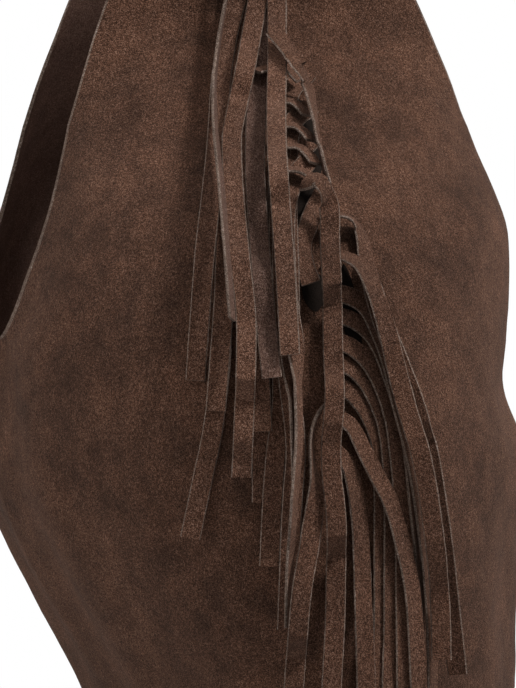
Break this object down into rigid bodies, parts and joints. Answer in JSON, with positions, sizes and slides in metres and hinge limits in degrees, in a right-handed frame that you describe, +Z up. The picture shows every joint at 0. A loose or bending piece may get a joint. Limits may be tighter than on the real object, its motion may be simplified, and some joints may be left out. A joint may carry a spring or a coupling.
{
  "type": "fringed suede bag",
  "caption": "Slouchy suede shoulder bag with raw edges, a laced end seam and long flat suede fringe.",
  "frame": {"origin": "on the base's underside, straight under the strap's middle", "axes": "+Z up to the strap, +X along the bag towards the fringed end seam, -Y towards the front panel"},
  "size_m": [0.3098, 0.2137, 0.55],
  "materials": {
    "panel_suede": "brushed suede nap",
    "lace_suede": "suede with raw cut edges",
    "base_suede": "suede"
  },
  "bodies": {
    "root": {"front_panel": "panel_suede", "back_panel": "panel_suede", "base_panel": "base_suede", "shoulder_strap": "panel_suede", "fringe_upper_01": "lace_suede", "fringe_upper_02": "lace_suede", "fringe_upper_03": "lace_suede", "fringe_upper_04": "lace_suede", "fringe_upper_05": "lace_suede", "fringe_upper_06": "lace_suede", "fringe_upper_07": "lace_suede", "fringe_upper_08": "lace_suede", "fringe_upper_09": "lace_suede", "fringe_upper_10": "lace_suede", "fringe_upper_11": "lace_suede", "fringe_upper_12": "lace_suede", "fringe_upper_13": "lace_suede", "fringe_short_01": "lace_suede", "braid_arc_01": "lace_suede", "braid_loop_01": "lace_suede", "braid_loop_02": "lace_suede", "braid_loop_03": "lace_suede", "braid_loop_04": "lace_suede", "braid_loop_05": "lace_suede", "braid_loop_06": "lace_suede", "braid_loop_07": "lace_suede", "braid_loop_08": "lace_suede", "braid_loop_09": "lace_suede", "braid_tail_01": "lace_suede", "braid_front_01": "lace_suede"}
  },
  "joints": []
}
